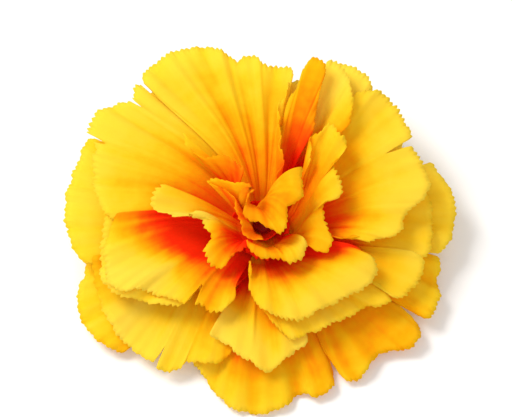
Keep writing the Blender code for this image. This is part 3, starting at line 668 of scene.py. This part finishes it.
def rib_roots(disc, lobe, root_end, shares):
    """The direction of each rib at the collar, in degrees."""
    slit = math.degrees(SLIT_AT_COLLAR / disc.collar)
    return lobe.start + slit / 2 + (root_end - lobe.start - slit) * shares


def nick_cuts(lobe, shares, along):
    """The share of each rib that the lobe's nicks take away."""
    cut = np.zeros(len(along))
    for place, depth, half_width in lobe.nicks:
        middle = np.interp(place / (len(lobe.rim) - 1), shares, along)
        cut = np.maximum(cut, depth * np.clip(1 - np.abs(along - middle) / half_width, 0, 1))
    return cut


def bend_ribs(lobe, roots, root, tip, shares, t):
    """The points at t, from 0 to 1, of the curves from root to tip."""
    pull = np.linalg.norm(tip - root, axis=1, keepdims=True) * HANDLE
    rise = np.radians(between(lobe.rise, shares))
    droop = np.radians(between(lobe.droop, shares))[:, None]
    leave = root + pull * round_axis(np.cos(rise), roots, np.sin(rise))
    onward = unit((tip - root) * LEVEL)
    arrive = tip - pull * (onward * np.cos(droop) + UP * np.sin(droop))
    return ((1 - t) ** 3 * root[:, None] + 3 * (1 - t) ** 2 * t * leave[:, None]
            + 3 * (1 - t) * t ** 2 * arrive[:, None] + t ** 3 * tip[:, None])


sides = rib_roots(DISCS[0], DISCS[0].lobes[0], DISCS[0].lobes[1].start, np.array([0, 1]))
print("the first lobe leaves the collar between", sides.round(1), "degrees")

# %% [markdown]
# ## Closing the slits
#
# Two neighbouring lobes hide the slit between them, because they spread when they are pressed.
# So from the slit's inner end on, each lobe's side turns towards its neighbour until they
# overlap. Where a cut is to gape, this fades out near the rim. Rims that end far apart, or at
# different heights, belong to lobes that don't meet, and keep their gap.

# %% Close the slits
RIM_STEPS = 20
SLIT_STEP = 3
OVERLAP = 0.7
NEAR_GAP, NEAR_REACH, NEAR_HEIGHT = 3.7, 4, 2.2
LEAST_REACH = 5
SIDE_POWER = 6
GAPES_FROM = 0.8
FULL_CIRCLE = 360


def rise_from_slit(out, start=SLIT_STEP / RIM_STEPS):
    """0 up to the end of the slits, or to start, and then smoothly to 1 at the rim."""
    x = np.clip((out - start) / (1 - start), 0, 1)
    return x * x * (3 - 2 * x)


def widening_after(lobes):
    """How far each lobe has to widen towards the next one, in mm at the rim."""
    widening = []
    for index, lobe in enumerate(lobes):
        azimuth, reach, height = lobes[(index + 1) % len(lobes)].rim[0]
        end_azimuth, end_reach, end_height = lobe.rim[-1]
        if index == len(lobes) - 1:
            azimuth += FULL_CIRCLE
        gap = math.radians(azimuth - end_azimuth) * min(reach, end_reach)
        meets = abs(gap) < NEAR_GAP and reach > LEAST_REACH
        level = abs(reach - end_reach) < NEAR_REACH and abs(height - end_height) < NEAR_HEIGHT
        widening.append(max(gap, 0) / 2 + OVERLAP if meets and level else 0)
    return widening


def widen(points, reach, side, out, widths, opens):
    """Turns a lobe's two sides about the axis towards its neighbours, in place."""
    grow = rise_from_slit(out)[None, :]
    shut = [1 - rise_from_slit(out, GAPES_FROM) if gapes else 1 + 0 * out for gapes in opens]
    reach = np.maximum(reach, 1)
    turn = (-widths[0] * (1 - side) ** SIDE_POWER / reach)[:, None] * grow * shut[0]
    turn += (widths[1] * side ** SIDE_POWER / reach)[:, None] * grow * shut[1]
    cos, sin = np.cos(turn), np.sin(turn)
    x, y = points[..., 0].copy(), points[..., 1].copy()
    points[..., 0] = x * cos - y * sin
    points[..., 1] = x * sin + y * cos


print("the lowest lobes widen by", [round(v, 1) for v in widening_after(DISCS[0].lobes)], "mm")

# %% [markdown]
# ## Ruffles, creases and folds
#
# Hot pressing leaves long soft waves that grow towards the rim, and narrow creases that run out
# from the middle at random places. The folds from the list are like creases, but stand where the
# photograph shows them, and 1.1 of them would fit on a rib, so they end short of the rim. All
# three push the cloth square to its own surface. A ruffle has a length and a height in mm, and a
# power by which it grows. A range holds the least and the most of a random draw. The draws are
# seeded, so every run gives the same flower.

# %% Ruffle a lobe
RUFFLES = [(13.0, 0.50, 1.8), (6.5, 0.30, 2.6), (3.4, 0.12, 4.0)]
RUFFLE_STRETCH = (0.85, 1.2)
RUFFLE_SIZE = (0.7, 1.3)
CREASE_EVERY = 6.0
CREASE_DEPTH = 0.2
CREASE_WIDTH = 1.1
CREASE_SIZE = (0.5, 1.2)
CREASE_REACH = (0.5, 1.1)
CREASE_DRIFT = (-1.5, 1.5)
FOLDS_A_RIB = 1.1
FOLD_FULLNESS = 0.7


def arch(share):
    """0 at 0, 1 at a half, and 0 again at 1 and beyond, for each step."""
    return np.sin(np.clip(share, 0, 1) * math.pi)[None, :]


def add_ruffles(push, along, out, chance):
    """Adds the long soft waves."""
    for length, height, growth in RUFFLES:
        stretch = chance.uniform(*RUFFLE_STRETCH)
        phase = chance.uniform(0, TURN)
        size = height * chance.uniform(*RUFFLE_SIZE)
        wave = size * np.sin(TURN * along / (length * stretch) + phase)
        push += wave[:, None] * out[None, :] ** growth


def add_creases(push, along, out, chance):
    """Adds the narrow creases."""
    for _ in range(round(along[-1] / CREASE_EVERY)):
        middle = chance.uniform(0, along[-1])
        depth = CREASE_DEPTH * chance.choice([-1, 1]) * chance.uniform(*CREASE_SIZE)
        reach = chance.uniform(*CREASE_REACH)
        drift = chance.uniform(*CREASE_DRIFT)
        off = along[:, None] - middle - drift * out[None, :]
        push += depth * np.exp(-(off / CREASE_WIDTH) ** 2) * arch(out / reach)


def add_folds(push, along, out, folds):
    """Adds the folds from the list."""
    for share, depth, width in folds:
        off = along[:, None] - share * along[-1]
        push += depth * np.exp(-(off / width) ** 2) * arch(out * FOLDS_A_RIB) ** FOLD_FULLNESS


def ruffle(along, out, folds, chance):
    """How far the cloth stands off its plain shape, in mm, for each rib and step."""
    push = np.zeros((len(along), len(out)))
    add_ruffles(push, along, out, chance)
    add_creases(push, along, out, chance)
    add_folds(push, along, out, folds)
    return push


sample = ruffle(np.linspace(0, 30, 60), np.linspace(0, 1, 20), [], random.Random(1))
print(f"a 30 mm rim moves up to {np.abs(sample).max():.1f} mm")

# %% [markdown]
# ## The pinked edge
#
# The cutting die leaves a zigzag edge, so that the cloth doesn't fray. The teeth aren't quite
# even, because the cloth shifts under the die, and a slow scallop runs along with them. The
# small upper discs have deeper teeth than the large lower ones, all but the topmost.

# %% Pink the edge
TOOTH_SHAPE = [-0.5, 0.1, 0.5, 0.1]
TOOTH_DEPTHS = [0.5, 0.6, 0.75, 0.85, 0.85, 0.9, 0.5]
TOOTH_SIZE = (0.5, 1.2)
UNEVEN = 0.25
UNEVEN_EVERY = 2.3
UNEVEN_PHASE = (0, 6)
SCALLOP = 0.3
SCALLOP_EVERY, SCALLOPS_CHANGE_EVERY = 4.3, 11.7


def pinking(along, depth, chance):
    """How far each rib's end stands out past the plain rim, in mm, with teeth of that depth."""
    teeth = len(along) // RIBS_A_TOOTH
    zigzag = np.array(TOOTH_SHAPE * teeth + TOOTH_SHAPE[:1])
    sizes = np.repeat([chance.uniform(*TOOTH_SIZE) for _ in range(teeth)], RIBS_A_TOOTH)
    shift = np.sin(along[:-1] / UNEVEN_EVERY + chance.uniform(*UNEVEN_PHASE))
    sizes = sizes * (1 - UNEVEN + UNEVEN * shift)
    phase = chance.uniform(0, TURN)
    wide = SCALLOP * np.sin(TURN * along / SCALLOP_EVERY + phase)
    wide = wide * np.sin(TURN * along / SCALLOPS_CHANGE_EVERY + 2 * phase)
    return depth * zigzag * np.append(sizes, sizes[-1]) + wide


print("teeth", min(TOOTH_DEPTHS), "to", max(TOOTH_DEPTHS), "mm deep")

# %% [markdown]
# ## Shaping a lobe
#
# Now a lobe comes together: plain ribs, closed slits, ruffles, and teeth at the rim. Each point
# also gets its distance along the cloth, for the flat cut, and its dye. Where the ruffles, creases
# and folds push the cloth against its normal, the dye is lowered, so these dips are a little
# redder: that is painted shade. Small lobes are too stiff to ruffle in full.

# %% Shape a lobe
# How far a dip of 1 mm lowers the dye, which paints its shade redder.
CREASE_SHADE = 0.25
FULL_RUFFLE = 8.0
Cloth = namedtuple("Cloth", "points roots lengths dye")


def spray_reach(lobe, points, side):
    """0 where the red ends and 1 where the full yellow begins, for each point."""
    red, yellow = between(lobe.dye[::2], side)[:, None], between(lobe.dye[1::2], side)[:, None]
    return (np.linalg.norm(points[..., :2], axis=2) - red) / (yellow - red)


def shape_lobe(disc, hub, lobe, root_end, widths, opens, depth, chance):
    """A lobe's cloth: its points are [rib, step, xyz], and hub is the height of the collar."""
    shares, along = even_shares(lobe.rim)
    side = along / along[-1]
    out = np.linspace(0, 1, RIM_STEPS + 1)
    roots = rib_roots(disc, lobe, root_end, shares)
    root = round_axis(np.full_like(roots, disc.collar), roots, hub)
    azimuth, reach, height = smooth_line(lobe.rim, shares).T
    tip = round_axis(reach, azimuth, height)
    t = out[None, :, None] * (1 - nick_cuts(lobe, shares, along)[:, None, None])
    points = bend_ribs(lobe, roots, root, tip, shares, t)
    widen(points, reach, side, out, widths, opens)
    normals = unit(np.cross(np.gradient(points, axis=1), np.gradient(points, axis=0)))
    steps = np.linalg.norm(np.diff(points, axis=1), axis=2)
    lengths = disc.collar + np.pad(np.cumsum(steps, axis=1), ((0, 0), (1, 0)))
    calm = min(1, np.linalg.norm(tip - root, axis=1).mean() / FULL_RUFFLE)
    push = ruffle(along, out, lobe.folds, chance) * calm
    # Painted shade: the dye is lowered where the push is negative, so those dips come out redder.
    dye = spray_reach(lobe, points, side) + CREASE_SHADE * np.minimum(push, 0)
    points += normals * push[..., None]
    ends = unit(points[:, -1] - points[:, -2])
    points[:, -1] += ends * pinking(along, depth * calm, chance)[:, None]
    return Cloth(points, roots, lengths, dye)


# %% [markdown]
# ## Laying cloth on cloth
#
# Cloth can't pass through cloth. The discs are laid from the bottom up: from high above, a ray
# looks down at every point of the new lobe, and where it meets cloth below, the point is lifted
# clear. A steep slope below asks for more, up to a limit. The lift is spread to the points
# around, as stiff cloth would, so no step shows. A lobe is also laid on the lobes of its own
# disc that are already there, but only where that takes a small lift: a neighbour that stands
# much higher may hang over it.

# %% Lift a lobe clear
CLEARANCE = 0.34
STEEPEST = 0.30
SPREAD_ROUNDS = 12
HIGH = 100 * MM
MOST_BESIDE = 1.6


def spread(need):
    """The lift that is needed, eased out over the points around, with the collar kept down."""
    lift = need.copy()
    for _ in range(SPREAD_ROUNDS):
        inner = np.pad(lift, 1, mode="edge")
        near = (inner[:-2, 1:-1] + inner[2:, 1:-1] + inner[1:-1, :-2] + inner[1:-1, 2:]) / 4
        lift = np.maximum(need, near)
    lift[:, 0] = 0
    return lift


def lifts(points, below, beside):
    """How far each point has to rise to clear the cloth below and beside it."""
    need = np.zeros(points.shape[:2])
    limits = [(tree, HIGH / MM) for tree in below] + [(tree, MOST_BESIDE) for tree in beside]
    for rib, step in np.ndindex(need.shape):
        x, y, z = points[rib, step] * MM
        for tree, most in limits:
            place, normal, _, _ = tree.ray_cast(Vector((x, y, HIGH)), Vector((0, 0, -1)))
            if place is not None:
                lift = (place.z - z) / MM + CLEARANCE / max(abs(normal.z), STEEPEST)
                if need[rib, step] < lift < most:
                    need[rib, step] = lift
    return spread(need)


def lobe_tree(points):
    """A lobe's part past the slits, to lay the next lobe on."""
    part = points[:, SLIT_STEP:]
    ribs, steps = part.shape[:2]
    corner = np.arange(ribs * steps).reshape(ribs, steps)
    faces = np.stack([corner[:-1, :-1], corner[1:, :-1], corner[1:, 1:], corner[:-1, 1:]], axis=-1)
    return BVHTree.FromPolygons((part * MM).reshape(-1, 3).tolist(), faces.reshape(-1, 4).tolist())


print("one lifted point lifts its row to", spread(np.pad([[1.0]], 2))[2].round(2))

# %% [markdown]
# ## The lobes of a disc
#
# A disc's lobes are shaped and laid one after the other. Side by side they are one grid: its
# columns are the ribs, its rows run outward, and a first row round the pin's hole is added.

# %% Lay the lobes of a disc
FIRST_SEED = 100
PIN_HOLE = 1.7


def lay_lobes(layer, disc, hub, below):
    """The disc's lobes in order, each laid on what is below it and beside it."""
    chance = random.Random(FIRST_SEED + layer)
    starts = [lobe.start for lobe in disc.lobes] + [disc.lobes[0].start + FULL_CIRCLE]
    widening = widening_after(disc.lobes)
    laid, beside = [], []
    for index, lobe in enumerate(disc.lobes):
        widths = (widening[index - 1], widening[index])
        opens = (disc.lobes[index - 1].open_cut, lobe.open_cut)
        cloth = shape_lobe(disc, hub, lobe, starts[index + 1], widths, opens,
                           TOOTH_DEPTHS[layer], chance)
        cloth.points[..., 2] += lifts(cloth.points, below, beside)
        beside.append(lobe_tree(cloth.points))
        laid.append(cloth)
    return laid


def join_lobes(laid, hub):
    """The lobes as one piece of cloth with its hole, and the columns that end a lobe."""
    points, roots, lengths, dye = (np.concatenate(parts) for parts in zip(*laid))
    hole = round_axis(np.full_like(roots, PIN_HOLE), roots, hub)
    points = np.concatenate([hole[:, None], points], axis=1)
    lengths = np.pad(lengths, ((0, 0), (1, 0)), constant_values=PIN_HOLE)
    dye = np.pad(dye, ((0, 0), (1, 0)), mode="edge")
    last_columns = np.cumsum([len(cloth.roots) for cloth in laid]) - 1
    return Cloth(points, roots, lengths, dye), set(last_columns.tolist())


# %% [markdown]
# ## From ribs to a mesh
#
# A flat grid is bent into the disc: every corner moves to its place on its rib, and the last
# column comes to lie on the first, where the two are merged. Every corner also gets half of its
# dye, so that the colour ramp has room past the full yellow, and its place in the flat cut. The
# faces between two lobes are deleted from the slit's end outward.

# %% Make the mesh of a disc
DYE_RANGE = 2
MERGE = 0.002 * MM


def grid_of(cloth):
    """A bmesh grid in the shape of the cloth, and each corner's column and row."""
    count, rows = cloth.points.shape[0], cloth.points.shape[1] - 1
    sheet = bmesh.new()
    bmesh.ops.create_grid(sheet, x_segments=count, y_segments=rows, size=1)
    dye = sheet.verts.layers.float.new("dye")
    flat = sheet.loops.layers.uv.new("flat cut")
    spots = {
        vert: (round((vert.co.x + 1) / 2 * count), round((vert.co.y + 1) / 2 * rows))
        for vert in sheet.verts
    }
    for vert, (column, row) in spots.items():
        vert.co = cloth.points[column % count, row] * MM
        vert[dye] = float(cloth.dye[column % count, row]) / DYE_RANGE
    for face in sheet.faces:
        for loop in face.loops:
            column, row = spots[loop.vert]
            angle = math.radians(cloth.roots[column % count])
            length = cloth.lengths[column % count, row] * MM
            loop[flat].uv = (length * math.cos(angle), length * math.sin(angle))
    return sheet, spots


def cut_slits(sheet, spots, last_columns):
    """Deletes the faces that lie between two lobes, from the end of the slits outward."""
    in_slit = [
        face for face in sheet.faces
        if min(spots[vert][0] for vert in face.verts) in last_columns
        and min(spots[vert][1] for vert in face.verts) > SLIT_STEP
    ]
    bmesh.ops.delete(sheet, geom=in_slit, context="FACES")


def close_sheet(sheet):
    """Merges the seam, turns the faces one way and splits them into triangles."""
    bmesh.ops.remove_doubles(sheet, verts=sheet.verts, dist=MERGE)
    bmesh.ops.recalc_face_normals(sheet, faces=sheet.faces)
    bmesh.ops.triangulate(sheet, faces=sheet.faces)


# %% [markdown]
# ## A finished disc
#
# The lowest disc lies just over the calyx, and each next one a millimetre higher. The sheet has
# no thickness of its own, so a Solidify modifier gives it that of the cloth, half to each side.
# Its area is measured before that.

# %% Finish a disc
CLOTH = 0.2
FIRST_GAP = 0.6
PITCH = 1.0
calyx_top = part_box("calyx")[1][2] / MM


def build_disc(layer, disc, below):
    """One cloth disc as a named piece, and its area in square metres."""
    hub = calyx_top + FIRST_GAP + PITCH * layer
    cloth, last_columns = join_lobes(lay_lobes(layer, disc, hub, below), hub)
    sheet, spots = grid_of(cloth)
    cut_slits(sheet, spots, last_columns)
    close_sheet(sheet)
    below.append(BVHTree.FromBMesh(sheet))
    area = sum(face.calc_area() for face in sheet.faces)
    data = bpy.data.meshes.new(disc.name + "_cloth")
    sheet.to_mesh(data)
    sheet.free()
    data.shade_smooth()
    data.materials.append(cloth_finish)
    piece = bpy.data.objects.new(disc.name + "_cloth", data)
    bpy.context.scene.collection.objects.link(piece)
    thickness = piece.modifiers.new("cloth thickness", "SOLIDIFY")
    thickness.thickness = CLOTH * MM
    thickness.offset = 0
    return piece, area


print("the calyx ends", round(calyx_top, 1), "mm up")

# %% [markdown]
# ## Seven discs, one on another
#
# Each sheet stands for the frame's solid of the same disc, which is hidden. It lies on the discs
# below it, the lowest just over the calyx, and its area is printed.

# %% Dress the flower
below = []
for layer, disc in enumerate(DISCS):
    piece, area = build_disc(layer, disc, below)
    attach(piece, "root")
    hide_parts(disc.name)
    print(disc.name, len(piece.data.polygons), "faces,", round(area / MM ** 2), "mm2")
